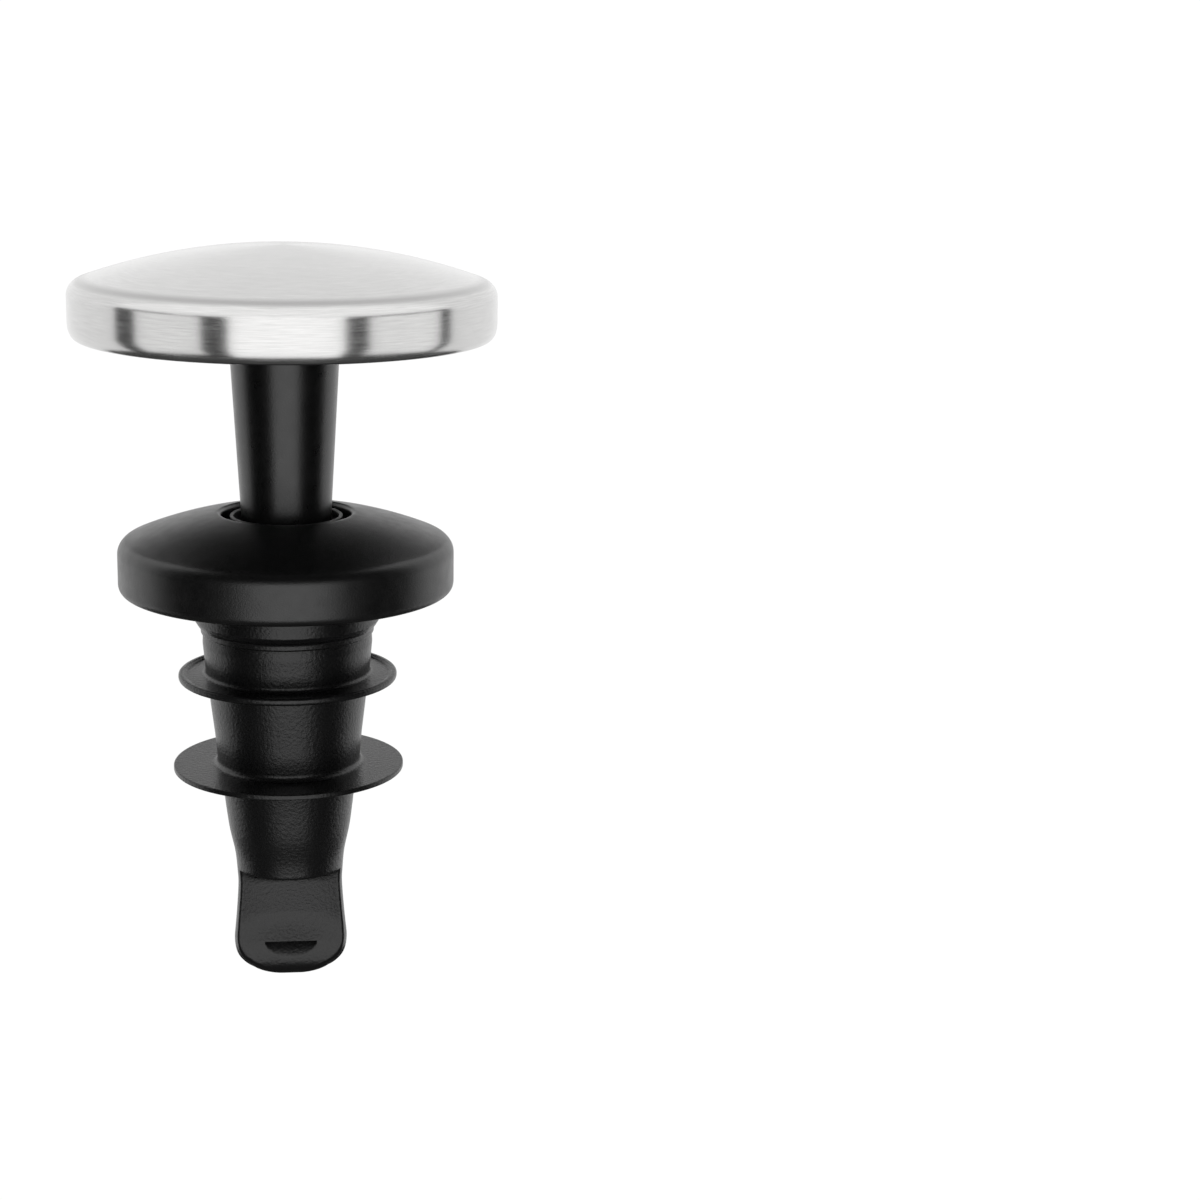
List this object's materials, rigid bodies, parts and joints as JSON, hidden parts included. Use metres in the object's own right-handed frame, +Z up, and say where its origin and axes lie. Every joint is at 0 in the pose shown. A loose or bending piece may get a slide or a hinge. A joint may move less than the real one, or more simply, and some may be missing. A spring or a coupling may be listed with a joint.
{
  "type": "liquor pour spout",
  "caption": "Bottle pour spout with a domed steel push-pull stopper cap, domed black collar, tapered stem and finned rubber plug.",
  "frame": {"origin": "centre of the collar's underside, the plane that rests on the bottle's mouth, on the spout's axis", "axes": "+Z up along the spout's axis towards the cap, -Y towards the intake window in the plug, +X to the right when facing the window"},
  "size_m": [0.044, 0.044, 0.0793],
  "materials": {
    "brushed_steel": "fine circular brushed stainless steel, satin",
    "fastener_steel": "plain stainless fasteners",
    "black_plastic": "fine-textured satin black moulding",
    "inner_plastic": "plain black moulding, hidden inside",
    "black_rubber": "satin black rubber with a fine leathery grain",
    "soft_seal": "matt soft silicone"
  },
  "bodies": {
    "spout": {"collar_shell": "black_plastic", "collar_base": "black_plastic", "flange_o_ring": "soft_seal", "pour_tube": "inner_plastic", "lip_seal": "soft_seal", "tube_nut": "inner_plastic", "guide_bush": "inner_plastic", "rod_o_ring": "soft_seal", "sleeve": "black_rubber"},
    "rod_stop": {"stop_washer": "fastener_steel"},
    "stopper": {"cap_shell": "brushed_steel", "cap_core": "black_plastic", "cap_washer": "fastener_steel", "cap_screw": "fastener_steel", "stem": "black_plastic", "stop_screw": "fastener_steel"}
  },
  "joints": [
    {"name": "stopper_slide", "type": "slide", "parent": "spout", "child": "rod_stop", "axis": [0, 0, 1], "range_m": [-0.0136, 0]},
    {"name": "cap_spin", "type": "hinge", "parent": "rod_stop", "child": "stopper", "pos_m": [0, 0, 0], "axis": [0, 0, 1], "continuous": true}
  ]
}
